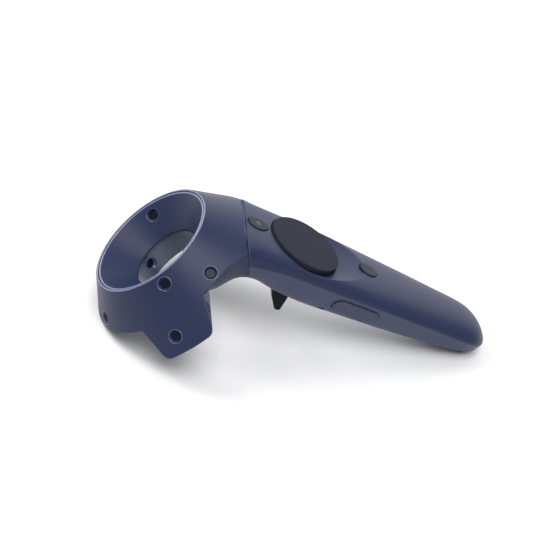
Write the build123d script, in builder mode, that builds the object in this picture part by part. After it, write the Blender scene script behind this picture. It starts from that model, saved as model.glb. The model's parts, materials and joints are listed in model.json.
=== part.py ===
from build123d import *
import math
import os

os.makedirs("parts", exist_ok=True)

# A motion controller wand: a hollow handle with a round trackpad, buttons and a trigger, and a flared ring
# head that holds the tracking sensors. All lengths are in millimetres.
#
# The pieces are drawn in the handle's own frame: X runs along the face from the ring to the tail, Z is square
# to the face, and the origin is on the face over the middle of the trackpad. Each piece is turned into the
# resting pose when it is written, so that the wand stands on its ring's lower edge and on its tail.

# Walls, gaps and overruns shared by the whole wand
wall = 1.8
seam_gap = 0.2
slide_gap = 0.25
seat_gap = 0.1
skin_gap = 0.3
pin_gap = 0.05
edge_round = 0.5
cut_over = 60.0
near_over = 3.0
pose_turns = 4

# Handle
tail_reach = 121.0
handle_half_width = 23.4
handle_depth = 27.2
nose_length = 20.0

# Ring head: depths are measured from the rim plane, along the ring's axis
ring_tilt = 63.0
ring_centre_x = -73.6
ring_centre_z = -32.8
rim_radius = 34.6
flare_angle = 35.0
band_wall = 2.0
rim_flat = 1.3
rim_land = 2.2
skirt_depth = 17.4
lobe_depth = 31.8
lobe_half_width = 18.5
lobe_tip_half_width = 14.0
lobe_round = 4.0
band_bend_depth = 4.4
base_wall = 2.0
rim_width = 2.4
funnel_lip_depth = 0.3
funnel_round = 0.33
funnel_wall = 1.6
throat_radius = 18.4
throat_depth = 13.6
throat_lip = 1.2
throat_gap = 0.3
collar_step = 2.2
collar_flare = 1.2
collar_wall = 1.6
collar_depth = 29.0
collar_foot = 1.4
collar_flange = 3.4
collar_flange_thickness = 1.0
neck_seam_x = -36.3
neck_seam_angle = 60.6
neck_sink = 0.04
neck_wall = 1.8

# Tracking sensors
dimple_radius = 3.5
dimple_depth = 1.5
window_radius = 2.3
window_gap = 0.05
module_radius = 3.0
module_thickness = 1.0
module_lift = 0.35

# Sensor frame and wiring inside the ring
frame_wall = 1.2
frame_top_depth = 4.5
frame_plate_depth = 16.2
frame_gap = 0.3
pocket_gap = 0.3
flex_thickness = 0.3
flex_top_depth = 7.5
flex_bottom_depth = 12.0
ring_screw_inset = 4.6
ring_boss_radius = 2.2
harness_width = 10.0
harness_thickness = 0.4
harness_start_x = -47.0
harness_start_z = -5.9
harness_bend_x = -37.0
harness_end_x = -32.2
harness_gap = 1.5

# Trackpad
pad_radius = 20.25
pad_rise = 0.43
pad_tilt = 2.58
pad_gap = 0.4
pad_top_wall = 1.8
pad_side_wall = 1.3
pad_height = 6.9
pad_round = 0.6
pad_travel = 0.5
well_depth = 5.6
well_wall = 1.2
tab_thickness = 1.1
tab_reach = 1.6
tab_width = 9.0
touch_board_thickness = 1.0
backplate_thickness = 0.8
plunger_radius = 2.5
dish_depth = 3.3
dish_shift = 8.0
dish_growth = 3.6

# Buttons on the face
button_travel = 0.4
button_rise = 0.5
button_flange = 0.5
flange_drop = 1.6
button_flange_thickness = 1.0
button_stem_radius = 2.0
menu_x = -28.6
menu_half_length = 5.8
menu_half_width = 5.0
system_x = 38.8
system_radius = 5.15
light_x = 46.4
light_radius = 0.6

# Main board
board_top = 8.8
board_thickness = 1.2
board_half_width = 17.0
board_front_x = -33.0
board_back_x = 50.0
switch_width = 6.0
switch_height = 3.4
pad_switch_width = 7.0
switch_slack = 0.1
can_height = 1.6
can_length = 9.0
can_front_x = -26.0
can_back_x = 39.2
can_width = 20.0

# Screws between the covers
screw_x = 20.5
screw_y = 15.5
boss_radius = 2.4
screw_radius = 1.0
screw_head_radius = 1.9
screw_head_height = 1.2
screw_reach = 4.0
screw_shank = 6.0

# Grip buttons
grip_x = 37.0
grip_z = -15.5
grip_length = 28.0
grip_width = 10.0
grip_rise = 0.8
grip_travel = 0.6
grip_board_inset = 10.9
grip_board_thickness = 0.8
grip_board_length = 10.0
grip_switch_reach = 2.0
grip_switch_length = 6.0
grip_switch_width = 5.0
grip_stem_radius = 1.8

# Trigger
trigger_x = -10.0
trigger_z = -15.5
trigger_hub_radius = 3.0
trigger_half_width = 6.6
trigger_gap = 0.3
pin_radius = 1.0
trigger_edge_round = 1.2
arm_end_x = 6.0
arm_top_z = -19.0
finger_tip_x = 3.6
finger_tip_z = -40.8
finger_tip_width = 3.2
finger_tip_round = 1.5
finger_bend_x = -2.2
finger_bend_z = -33.6
finger_bend_round = 14.0
finger_root_x = -6.5
finger_root_z = -22.0
cheek_thickness = 1.4
cheek_radius = 3.4
bracket_front_x = -15.0
bracket_back_x = 9.2
bracket_web = 1.2
spring_wire = 0.8
spring_pocket_half_width = 2.6
magnet_radius = 1.5
magnet_thickness = 2.0
magnet_x = 0.5
magnet_z = -19.5
hall_x = -1.0
hall_size = 3.2
hall_height = 1.1
click_height = 2.4
click_length = 5.0
click_x = 6.2
slot_front_x = -11.5
slot_back_x = 13.0

# Haptic motor
motor_front_x = 16.5
motor_back_x = 34.0
motor_width = 14.0
motor_height = 8.0

# Battery, its tray and the power ribbon
battery_front_x = 53.0
battery_back_x = 96.0
battery_width = 24.0
battery_top = 10.4
battery_height = 7.6
battery_round = 2.0
tray_wall = 1.0
tray_lip = 3.0
tray_foot_radius = 2.5
ribbon_width = 6.0
ribbon_thickness = 0.3

# Charging socket and its board at the tail
socket_length = 7.4
socket_width = 7.6
socket_height = 3.0
socket_wall = 0.5
socket_inset = 0.3
tongue_thickness = 0.6
tongue_width = 4.6
tail_board_front_x = 101.0
tail_board_back_x = 117.5
tail_board_width = 14.0
tail_board_thickness = 1.0
tail_post_x = 104.0
tail_post_y = 4.5
tail_post_radius = 1.6

# Lanyard tunnel
lanyard_x = 107.0
lanyard_drop = 18.4
lanyard_radius = 1.6
lanyard_wall = 1.3

# Antenna
antenna_front_x = 72.0
antenna_length = 20.0
antenna_width = 8.0
antenna_thickness = 0.3
antenna_drop = 2.9

# Plates that join the head to the handle
joint_plate_thickness = 1.6
joint_plate_reach = 4.0
joint_plate_top = 7.5
joint_plate_bottom = 14.0

socket_back_x = tail_reach - socket_inset
funnel_radius = rim_radius - rim_width
collar_radius = throat_radius + collar_step
collar_mouth_radius = collar_radius + collar_flare
ring_screw_radius = rim_radius - ring_screw_inset
grip_board_y = handle_half_width - grip_board_inset
flare = math.tan(math.radians(flare_angle))
band_step = band_wall / math.cos(math.radians(flare_angle))


def cone_radius(depth):
    """Outer radius of the flared band at a depth below the rim."""
    return rim_radius + depth * flare


skirt_radius = cone_radius(skirt_depth)
collar_outer = collar_mouth_radius + collar_wall
base_bore = collar_outer + seam_gap
foot_radius = base_bore + collar_foot
under_slope = (collar_depth - skirt_depth) / (skirt_radius - foot_radius)
under_step = base_wall * math.hypot(1, under_slope)
funnel_slope = (funnel_radius - throat_radius) / (throat_depth - funnel_lip_depth)
funnel_step = funnel_wall * math.hypot(1, funnel_slope)
collar_top = throat_depth + throat_lip + throat_gap
collar_slope = (collar_mouth_radius - collar_radius) / (collar_depth - collar_top)


def under_depth(radius):
    """Depth of the ring's underside at a radius."""
    return skirt_depth + (skirt_radius - radius) * under_slope


tilt = math.radians(ring_tilt)
ring_out = Vector(math.cos(tilt), 0, math.sin(tilt))
ring_up = Vector(-math.sin(tilt), 0, math.cos(tilt))
across = Vector(0, 1, 0)
ring_centre = Vector(ring_centre_x, 0, ring_centre_z)
ring_axis = Axis(ring_centre, ring_up)
# In the profile plane X is the radius and Y is minus the depth
ring_profile = Plane(origin=ring_centre, x_dir=ring_out, z_dir=(0, -1, 0))
side_plane = Plane(origin=(0, 0, 0), x_dir=(1, 0, 0), z_dir=(0, -1, 0))
lean = math.radians(neck_seam_angle)
seam_out = Vector(math.sin(lean), 0, math.cos(lean))
seam_plane = Plane(origin=(neck_seam_x, 0, 0), x_dir=(0, 1, 0), z_dir=seam_out)
pad_lean = math.radians(pad_tilt)
pad_out = Vector(math.sin(pad_lean), 0, math.cos(pad_lean))
pad_plane = Plane(origin=(0, 0, pad_rise), x_dir=(math.cos(pad_lean), 0, -math.sin(pad_lean)), z_dir=pad_out)

# Handle sections as shares of the handle's reach, half width and depth: place, half width, bottom, top drop,
# level of the widest line, then the fullness of the crown and of the belly, and the belly's lean in degrees.
handle_shares = [
    (-0.385, 1.60, 1.25, 0.100, 0.845, 0.82, 1.00, 4),
    (-0.345, 1.41, 1.14, 0.030, 0.680, 0.84, 1.00, 4),
    (-0.300, 1.20, 1.04, 0.005, 0.522, 0.86, 1.00, 4),
    (-0.250, 1.06, 0.90, 0.000, 0.395, 0.88, 0.96, 8),
    (-0.180, 1.02, 0.84, 0.000, 0.338, 0.88, 0.92, 12),
    (-0.120, 1.00, 0.92, 0.000, 0.300, 0.88, 0.88, 16),
    (0.060, 1.00, 1.03, 0.000, 0.262, 0.85, 0.87, 18),
    (0.240, 0.96, 1.00, 0.000, 0.257, 0.76, 0.87, 18),
    (0.420, 0.91, 0.96, 0.000, 0.262, 0.66, 0.87, 18),
    (0.600, 0.86, 0.90, 0.005, 0.270, 0.57, 0.87, 18),
    (0.740, 0.81, 0.845, 0.022, 0.285, 0.55, 0.87, 18),
]
nose_root_shares = (0.765, 0.80, 0.040, 0.300, 0.55, 0.87, 18)
nose_place_shares = [0.10, 0.35, 0.60, 0.80, 0.91, 0.97]
nose_centre_share = 0.50
belly_end_share = 0.15


def section_sizes(inset):
    """The (x, half width, top, bottom, widest level, crown, belly, lean) of each section, drawn in by inset."""
    rows = []
    for place, width, depth, drop, level, crown, belly, belly_lean in handle_shares:
        half = width * handle_half_width - inset
        top = -drop * handle_depth - inset
        bottom = -depth * handle_depth + inset
        rows.append((place * tail_reach, half, top, bottom, -level * handle_depth, crown, belly, belly_lean))
    width, depth, drop, level, crown, belly, belly_lean = nose_root_shares
    centre = -nose_centre_share * handle_depth
    last = nose_place_shares[-1]
    for share in nose_place_shares:
        shrink = math.sqrt(1 - share**2)
        x = tail_reach - nose_length + (nose_length - inset) * share / last
        half = (width * handle_half_width - inset) * shrink
        top = centre + (-drop * handle_depth - inset - centre) * shrink
        bottom = centre + (-depth * handle_depth + inset - centre) * shrink
        middle = centre + (-level * handle_depth - centre) * shrink
        rows.append((x, half, top, bottom, middle, crown, belly, belly_lean))
    return rows


def handle_form(inset):
    """The handle's whole form, from inside the ring head to the tail, drawn in by inset."""
    with BuildPart() as form:
        for x, half, top, bottom, level, crown, belly, belly_lean in section_sizes(inset):
            fall = level - bottom
            shift = belly * fall * math.sin(math.radians(belly_lean))
            drop = belly * fall * math.cos(math.radians(belly_lean))
            end = (belly - belly_end_share) * half
            rise = level + crown * (top - level)
            with BuildSketch(Plane(origin=(x, 0, 0), x_dir=(0, 1, 0), z_dir=(1, 0, 0))):
                with BuildLine():
                    Bezier((0, top), (crown * half, top), (half, rise), (half, level))
                    Bezier((half, level), (half - shift, level - drop), (end, bottom), (0, bottom))
                    Bezier((0, bottom), (-end, bottom), (shift - half, level - drop), (-half, level))
                    Bezier((-half, level), (-half, rise), (-crown * half, top), (0, top))
                make_face()
        loft()
    return form.part


def turned(points):
    """A solid turned about the ring's axis, from (radius, depth) corners."""
    with BuildPart() as solid:
        with BuildSketch(ring_profile):
            with BuildLine():
                Polyline(*[(radius, -depth) for radius, depth in points], close=True)
            make_face()
        revolve(axis=ring_axis)
    return solid.part


def lobe_block(inset):
    """The bar across the ring that leaves the two lobes standing, drawn in by inset."""
    half = lobe_half_width - inset
    tip = lobe_tip_half_width - inset
    slant = (lobe_half_width - lobe_tip_half_width) / (lobe_depth - skirt_depth)
    foot = half + skirt_depth * slant
    with BuildPart() as bar:
        with BuildSketch(ring_profile):
            with BuildLine():
                Polyline((-foot, 0), (-tip, -lobe_depth), (tip, -lobe_depth), (foot, 0), close=True)
            face = make_face()
            tips = face.vertices().sort_by(Axis.Y)[:2]
            fillet(tips, lobe_round - inset)
        extrude(amount=cut_over, both=True)
    return bar.part


def side_block(points, half_width):
    """A straight bar across the handle, from (x, z) corners."""
    with BuildPart() as bar:
        with BuildSketch(side_plane):
            with BuildLine():
                Polyline(*points, close=True)
            make_face()
        extrude(amount=half_width, both=True)
    return bar.part


def rod(plane, radius, start, end):
    """A round rod on a plane's normal, from start to end above the plane."""
    with BuildPart() as bar:
        with BuildSketch(plane.offset(start)):
            Circle(radius)
        extrude(amount=end - start)
    return bar.part


def block(plane, length, width, start, end):
    """A rectangular block on a plane's normal, from start to end above the plane."""
    with BuildPart() as body:
        with BuildSketch(plane.offset(start)):
            Rectangle(length, width)
        extrude(amount=end - start)
    return body.part


def face_plane(x, y=0):
    """A plane parallel to the handle's face, at its level."""
    return Plane(origin=(x, y, 0), x_dir=(1, 0, 0), z_dir=(0, 0, 1))


def ring_plane(radius, angle, depth):
    """A plane square to the ring's axis, at a place in the ring."""
    turn = math.radians(angle)
    out = ring_out * math.cos(turn) + across * math.sin(turn)
    return Plane(origin=ring_centre + out * radius - ring_up * depth, x_dir=out, z_dir=ring_up)


outer = handle_form(0)
inner = handle_form(wall)

# The space under the widest line of the handle, where the lower pieces lie
def below_parting(drop):
    line = [(row[0], row[4] - drop) for row in section_sizes(0)]
    start = line[0]
    end = line[-1]
    with BuildPart() as space:
        with BuildSketch(side_plane):
            with BuildLine():
                Spline(*line)
                Polyline(
                    end,
                    (end[0] + near_over, end[1]),
                    (end[0] + near_over, -cut_over),
                    (start[0] - near_over, -cut_over),
                    (start[0] - near_over, start[1]),
                    start,
                )
            make_face()
        extrude(amount=cut_over, both=True)
    return space.part


lower_space = below_parting(0)
lower_cover_space = below_parting(seam_gap)
wide = tail_reach + cut_over
head_side = block(seam_plane, 2 * wide, 2 * wide, -wide, -seam_gap / 2)
handle_side = block(seam_plane, 2 * wide, 2 * wide, seam_gap / 2, wide)

# Ring head shells
far_radius = skirt_radius + cut_over
deep = lobe_depth + cut_over
under_cut = turned(
    [
        (foot_radius, collar_depth),
        (far_radius, under_depth(far_radius)),
        (far_radius, deep),
        (foot_radius, deep),
    ]
) - lobe_block(0)
band = turned(
    [
        (rim_radius - rim_flat, 0),
        (rim_radius, 0),
        (cone_radius(lobe_depth), lobe_depth),
        (cone_radius(lobe_depth) - band_step, lobe_depth),
        (cone_radius(band_bend_depth) - band_step, band_bend_depth),
        (rim_radius - rim_flat, rim_land),
    ]
) - under_cut

# The neck: the handle's form where it leaves the ring, held inside the flare's cone
def cone_space(step):
    """Everything inside the flare's cone, drawn in by step."""
    return turned(
        [
            (0, -near_over),
            (cone_radius(-near_over) - step, -near_over),
            (cone_radius(deep) - step, deep),
            (0, deep),
        ]
    )


neck_step = neck_wall / math.cos(math.radians(flare_angle))
band_middle = band_step / 2
neck = (outer & head_side & cone_space(neck_sink)) - (inner & cone_space(neck_step))
inside_band = turned(
    [
        (0, -near_over),
        (cone_radius(-near_over) - band_middle, -near_over),
        (skirt_radius - band_middle, skirt_depth),
        (skirt_radius - band_middle, under_depth(skirt_radius - band_middle)),
        (foot_radius, collar_depth),
        (foot_radius, deep),
        (0, deep),
    ]
)
middle_depth = under_depth(far_radius) - base_wall / 2
above_base = turned(
    [
        (0, middle_depth),
        (far_radius, middle_depth),
        (foot_radius, collar_depth - base_wall / 2),
        (foot_radius, deep),
        (0, deep),
    ]
)
neck_top = neck - lower_space - inside_band
neck_under = (neck & lower_cover_space) - above_base
shell = band + neck_top
inner_edge_depth = skirt_depth + (skirt_radius - rim_radius + band_step) * under_slope - under_step
inner_edge_depth = inner_edge_depth / (1 + flare * under_slope)
base = turned(
    [
        (base_bore, under_depth(base_bore) - under_step),
        (cone_radius(inner_edge_depth) - band_step, inner_edge_depth),
        (cone_radius(lobe_depth) - band_step, lobe_depth),
        (foot_radius, collar_depth),
        (base_bore, collar_depth),
    ]
) - under_cut
scoop = turned(
    [
        (base_bore + base_wall, 0),
        (cone_radius(lobe_depth), 0),
        (cone_radius(lobe_depth), lobe_depth - base_wall),
        (foot_radius, collar_depth - base_wall),
        (base_bore + base_wall, collar_depth - base_wall),
    ]
) & lobe_block(base_wall)
base = base - scoop + neck_under

# Places of the tracking sensors on one side of the ring, as (depth, angle); the other side mirrors them.
# On a lobe's walls they are (depth, inset from the cone).
outer_sensors = [(4.1, 277.5), (13.4, 306.5), (24.4, 265.8), (13.6, 208.5)]
funnel_sensors = [(4.2, 268.0)]
under_sensors = [(20.6, 194.0), (20.6, 220.0), (21.2, 238.5)]
collar_sensors = [(22.0, 225.0)]
lobe_wall_sensors = [(25.2, 9.64)]
lobe_foot_radius_share = 0.78


def mirrored(places):
    """Each (depth, angle) place and its mirror image across the wand."""
    return [(depth, turn) for depth, angle in places for turn in (angle, -angle)]


def wall_plane(radius, depth, angle, normal_out, normal_up):
    """A plane on a turned wall, with its normal given as outward and upward parts."""
    turn = math.radians(angle)
    out = ring_out * math.cos(turn) + across * math.sin(turn)
    along = across * math.cos(turn) - ring_out * math.sin(turn)
    normal = (out * normal_out + ring_up * normal_up).normalized()
    return Plane(origin=ring_centre + out * radius - ring_up * depth, x_dir=along, z_dir=normal)


band_lean = math.radians(flare_angle)
funnel_lean = math.atan(funnel_slope)
under_angle = math.atan(under_slope)
outer_planes = [
    wall_plane(cone_radius(depth), depth, angle, math.cos(band_lean), math.sin(band_lean))
    for depth, angle in mirrored(outer_sensors)
]
funnel_planes = [
    wall_plane(
        funnel_radius - (depth - funnel_lip_depth) * funnel_slope,
        depth,
        angle,
        -math.cos(funnel_lean),
        math.sin(funnel_lean),
    )
    for depth, angle in mirrored(funnel_sensors)
]
under_planes = [
    wall_plane(
        skirt_radius - (depth - skirt_depth) / under_slope,
        depth,
        angle,
        math.sin(under_angle),
        -math.cos(under_angle),
    )
    for depth, angle in mirrored(under_sensors)
]
collar_planes = [
    wall_plane(collar_radius + (depth - collar_top) * collar_slope, depth, angle, -1, -collar_slope)
    for depth, angle in mirrored(collar_sensors)
]
lobe_slant = (lobe_half_width - lobe_tip_half_width) / (lobe_depth - skirt_depth)
lobe_foot_rise = (lobe_depth - collar_depth) / (cone_radius(lobe_depth) - foot_radius)
lobe_planes = []
for side in (-1, 1):
    for depth, inset in lobe_wall_sensors:
        reach = cone_radius(depth) - inset
        for face in (-1, 1):
            half = lobe_half_width - (depth - skirt_depth) * lobe_slant
            spot = ring_centre + ring_out * (face * half) + across * (side * reach) - ring_up * depth
            normal = (ring_out * face - ring_up * lobe_slant).normalized()
            lobe_planes.append(Plane(origin=spot, x_dir=across, z_dir=normal))
    reach = lobe_foot_radius_share * cone_radius(lobe_depth)
    depth = lobe_depth - (cone_radius(lobe_depth) - reach) * lobe_foot_rise
    spot = ring_centre + across * (side * reach) - ring_up * depth
    normal = (ring_up * -1 + across * (side * -lobe_foot_rise)).normalized()
    lobe_planes.append(Plane(origin=spot, x_dir=ring_out, z_dir=normal))


def dimple(plane):
    """The cut for one sensor: a shallow cup, then the hole for its window."""
    with BuildPart() as cup:
        with BuildSketch(plane.offset(-dimple_depth)):
            Circle(window_radius + window_gap)
        with BuildSketch(plane):
            Circle(dimple_radius)
        loft()
        with BuildSketch(plane):
            Circle(dimple_radius)
        extrude(amount=near_over)
        with BuildSketch(plane.offset(-near_over)):
            Circle(window_radius + window_gap)
        extrude(amount=near_over - dimple_depth / 2)
    return cup.part


def sensor_windows(planes, thickness):
    """A dark window at the bottom of each dimple, through the wall."""
    with BuildPart() as windows:
        for plane in planes:
            with BuildSketch(plane.offset(-dimple_depth)):
                Circle(window_radius)
            extrude(amount=dimple_depth - thickness - module_lift)
    return windows


def sensor_modules(planes, thickness):
    """A small round sensor board behind each window."""
    with BuildPart() as modules:
        for plane in planes:
            with BuildSketch(plane.offset(-thickness - module_lift)):
                Circle(module_radius)
            extrude(amount=-module_thickness)
    return modules


for plane in outer_planes:
    shell = shell - dimple(plane)
for plane in under_planes + lobe_planes:
    base = base - dimple(plane)

# Funnel: the inner wall of the ring, down to its throat
funnel_top = rim_radius - rim_flat - seam_gap
with BuildPart() as head_funnel:
    with BuildSketch(ring_profile):
        with BuildLine():
            bend = funnel_lip_depth + (funnel_radius + funnel_step - funnel_top) / funnel_slope
            Polyline(
                (funnel_radius, -funnel_lip_depth),
                (throat_radius, -throat_depth),
                (throat_radius, -throat_depth - throat_lip),
                (throat_radius + funnel_step, -throat_depth - throat_lip),
                (throat_radius + funnel_step, -throat_depth),
                (funnel_top, -bend),
                (funnel_top, -funnel_lip_depth),
                close=True,
            )
        make_face()
    revolve(axis=ring_axis)
    lip = head_funnel.edges().filter_by(GeomType.CIRCLE).sort_by(ring_axis)[-2:]
    fillet(lip, funnel_round)
    for plane in funnel_planes:
        add(dimple(plane), mode=Mode.SUBTRACT)

# Collar: the grey tube below the throat
with BuildPart() as head_collar:
    with BuildSketch(ring_profile):
        with BuildLine():
            flange_end = collar_radius + collar_wall + collar_flange
            Polyline(
                (collar_radius, -collar_top),
                (collar_mouth_radius, -collar_depth),
                (collar_outer, -collar_depth),
                (collar_radius + collar_wall, -collar_top - collar_flange_thickness),
                (flange_end, -collar_top - collar_flange_thickness),
                (flange_end, -collar_top),
                close=True,
            )
        make_face()
    revolve(axis=ring_axis)
    for plane in collar_planes:
        add(dimple(plane), mode=Mode.SUBTRACT)

# Sensor frame: a cone that backs the outer sensors, a plate round the collar and bosses for the screws
frame_lift = module_lift + module_thickness + seat_gap
frame_step = band_step + frame_lift / math.cos(band_lean)
frame_inner_step = frame_step + frame_wall / math.cos(band_lean)
plate_bottom = frame_plate_depth + frame_wall
screw_angles = [180.0, 132.0, 228.0]
boss_depth = under_depth(ring_screw_radius + ring_boss_radius) - under_step
pocket_depth = base_wall + module_lift + module_thickness + pocket_gap
harness_cut = side_block(
    [
        (harness_start_x, harness_start_z + harness_gap),
        (harness_end_x, harness_start_z + harness_gap),
        (harness_end_x, -board_top - harness_gap),
        (harness_start_x, harness_start_z - harness_gap),
    ],
    harness_width / 2 + harness_gap,
)
with BuildPart() as sensor_frame:
    with BuildSketch(ring_profile):
        with BuildLine():
            plate_inner = collar_outer + frame_gap
            Polyline(
                (cone_radius(frame_top_depth) - frame_inner_step, -frame_top_depth),
                (cone_radius(frame_top_depth) - frame_step, -frame_top_depth),
                (cone_radius(frame_plate_depth) - frame_step, -frame_plate_depth),
                (cone_radius(frame_plate_depth) - frame_step, -plate_bottom),
                (plate_inner, -plate_bottom),
                (plate_inner, -frame_plate_depth),
                (cone_radius(frame_plate_depth) - frame_inner_step, -frame_plate_depth),
                close=True,
            )
        make_face()
    revolve(axis=ring_axis)
    for angle in screw_angles:
        with BuildSketch(ring_plane(ring_screw_radius, angle, plate_bottom)):
            Circle(ring_boss_radius)
        extrude(amount=plate_bottom - boss_depth + seat_gap)
    for angle in screw_angles:
        with BuildSketch(ring_plane(ring_screw_radius, angle, boss_depth)):
            Circle(screw_radius)
        extrude(amount=boss_depth - plate_bottom + near_over, mode=Mode.SUBTRACT)
    add(harness_cut, mode=Mode.SUBTRACT)
    for plane in under_planes + lobe_planes:
        add(rod(plane, module_radius + pocket_gap, -pocket_depth, 0), mode=Mode.SUBTRACT)

# Screws that hold the underside cover to the frame
ring_head_depth = under_depth(ring_screw_radius + screw_head_radius)
with BuildPart() as ring_screws:
    for angle in screw_angles:
        with BuildSketch(ring_plane(ring_screw_radius, angle, ring_head_depth)):
            Circle(screw_head_radius)
        extrude(amount=screw_head_height)
        with BuildSketch(ring_plane(ring_screw_radius, angle, ring_head_depth - screw_head_height)):
            Circle(screw_radius)
        extrude(amount=ring_head_depth - screw_head_height - plate_bottom + frame_wall)

with BuildPart() as screw_wells:
    for angle in screw_angles:
        with BuildSketch(ring_plane(ring_screw_radius, angle, collar_depth)):
            Circle(screw_head_radius + seat_gap)
        extrude(amount=collar_depth - ring_head_depth + screw_head_height)
        with BuildSketch(ring_plane(ring_screw_radius, angle, collar_depth)):
            Circle(screw_radius + seat_gap)
        extrude(amount=collar_depth - throat_depth)

# Wiring: a ribbon round the frame and a flat harness through the neck to the main board
flex_step = frame_inner_step + seat_gap
with BuildPart() as sensor_flex:
    with BuildSketch(ring_profile):
        with BuildLine():
            Polyline(
                (cone_radius(flex_top_depth) - flex_step, -flex_top_depth),
                (cone_radius(flex_bottom_depth) - flex_step, -flex_bottom_depth),
                (cone_radius(flex_bottom_depth) - flex_step - flex_thickness, -flex_bottom_depth),
                (cone_radius(flex_top_depth) - flex_step - flex_thickness, -flex_top_depth),
                close=True,
            )
        make_face()
    revolve(axis=ring_axis)
    add(harness_cut, mode=Mode.SUBTRACT)

with BuildPart() as sensor_harness:
    with BuildSketch(side_plane):
        with BuildLine():
            Polyline(
                (harness_start_x, harness_start_z),
                (harness_bend_x, harness_thickness - board_top),
                (harness_end_x, harness_thickness - board_top),
                (harness_end_x, -board_top),
                (harness_bend_x, -board_top),
                (harness_start_x, harness_start_z - harness_thickness),
                close=True,
            )
        make_face()
    extrude(amount=harness_width / 2, both=True)

outer_pocket = band_wall + module_lift + module_thickness + pocket_gap
for plane in outer_planes:
    base = base - rod(plane, module_radius + pocket_gap, -outer_pocket, -band_wall)
shell = shell - harness_cut
base = base - harness_cut - screw_wells.part

windows_outer = sensor_windows(outer_planes, band_wall)
windows_funnel = sensor_windows(funnel_planes, funnel_wall)
windows_collar = sensor_windows(collar_planes, collar_wall)
windows_under = sensor_windows(under_planes + lobe_planes, base_wall)
modules_outer = sensor_modules(outer_planes, band_wall)
modules_funnel = sensor_modules(funnel_planes, funnel_wall)
modules_collar = sensor_modules(collar_planes, collar_wall)
modules_under = sensor_modules(under_planes + lobe_planes, base_wall)

# Trackpad: a round cap that presses straight down, with its touch board and backplate
board_bottom = board_top + board_thickness
pad_board_top = pad_top_wall
pad_board_bottom = pad_board_top + touch_board_thickness
plate_under = pad_board_bottom + backplate_thickness
pad_bore = pad_radius - pad_side_wall
tab_top = well_depth + seat_gap
plunger_length = board_top + pad_rise - switch_height - pad_travel - switch_slack
with BuildPart() as trackpad_cap:
    with BuildSketch(pad_plane):
        Circle(pad_radius)
    extrude(amount=-pad_height)
    fillet(trackpad_cap.edges().group_by(Axis.Z)[-1], pad_round)
    with BuildSketch(pad_plane.offset(-pad_top_wall)):
        Circle(pad_bore)
    extrude(amount=pad_top_wall - pad_height, mode=Mode.SUBTRACT)
    with BuildSketch(pad_plane.offset(-tab_top)):
        with Locations((pad_bore, 0), (-pad_bore, 0)):
            Rectangle(2 * (tab_reach + pad_side_wall), tab_width)
    extrude(amount=-tab_thickness)
    with BuildSketch(pad_plane.offset(-pad_top_wall)):
        Circle(pad_bore)
    extrude(amount=pad_top_wall - pad_height, mode=Mode.SUBTRACT)

trackpad_touch_board = rod(pad_plane, pad_bore - seat_gap, -pad_board_bottom, -pad_board_top)
with BuildPart() as trackpad_backplate:
    with BuildSketch(pad_plane.offset(-pad_board_bottom)):
        Circle(pad_bore - seat_gap)
    extrude(amount=-backplate_thickness)
    with BuildSketch(pad_plane.offset(-plate_under)):
        Circle(plunger_radius)
    extrude(amount=plate_under - plunger_length)

# The round well for the trackpad and the dish that runs up to the face on the tail side
well_radius = pad_radius + pad_gap


def dish(grow, drop):
    """An oblique cone over the trackpad's place, grown and lowered for the wall under it."""
    reach = 2 * dish_depth
    with BuildPart() as cone:
        with BuildSketch(pad_plane.offset(-dish_depth - drop)):
            Circle(well_radius + grow)
        with BuildSketch(pad_plane.offset(reach - dish_depth - drop)):
            with Locations((2 * dish_shift, 0)):
                Circle(well_radius + grow + 2 * dish_growth)
        loft()
    return cone.part


menu_plane = face_plane(menu_x)
system_plane = face_plane(system_x)
screw_spots = [(x, y) for x in (-screw_x, screw_x) for y in (-screw_y, screw_y)]

with BuildPart() as top_bosses:
    with BuildSketch(pad_plane.offset(near_over)):
        Circle(well_radius + well_wall)
    extrude(amount=-near_over - well_depth)
    add(dish(well_wall, well_wall))
    for x, y in screw_spots:
        with BuildSketch(face_plane(x, y)):
            Circle(boss_radius)
        extrude(amount=-board_top)

boss_holes = Part() + [
    rod(face_plane(x, y), screw_radius, -cut_over, -board_top + screw_reach) for x, y in screw_spots
]
cavity_top = inner - top_bosses.part
with BuildPart() as face_holes:
    with BuildSketch(pad_plane.offset(-cut_over)):
        Circle(well_radius)
    extrude(amount=cut_over + near_over)
    add(dish(0, 0))
    with BuildSketch(menu_plane.offset(-near_over)):
        Ellipse(menu_half_length + slide_gap, menu_half_width + slide_gap)
    extrude(amount=2 * near_over)
    with BuildSketch(system_plane.offset(-near_over)):
        Circle(system_radius + slide_gap)
    extrude(amount=2 * near_over)
    with BuildSketch(face_plane(light_x).offset(-near_over)):
        Circle(light_radius + pin_gap)
    extrude(amount=2 * near_over)
head_room = outer & handle_side
top_cover = head_room - lower_space - cavity_top - face_holes.part - boss_holes

# Menu and system buttons: a flanged cap with a stem over its switch
stem_end = board_top - switch_height - button_travel - switch_slack
flange_top = wall + flange_drop


def face_button(plane, half_length, half_width):
    """A button cap through the face, its flange under the cover and its stem down to the switch."""
    with BuildPart() as button:
        with BuildSketch(plane.offset(button_rise)):
            Ellipse(half_length, half_width)
        extrude(amount=-button_rise - flange_top)
        fillet(button.edges().group_by(Axis.Z)[-1], edge_round)
        with BuildSketch(plane.offset(-flange_top)):
            Ellipse(half_length + button_flange, half_width + button_flange)
        extrude(amount=-button_flange_thickness)
        with BuildSketch(plane.offset(-flange_top)):
            Circle(button_stem_radius)
        extrude(amount=flange_top - stem_end)
    return button


menu_button = face_button(menu_plane, menu_half_length, menu_half_width)
system_button = face_button(system_plane, system_radius, system_radius)
status_light = rod(face_plane(light_x), light_radius, -board_top, -seat_gap)

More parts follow.
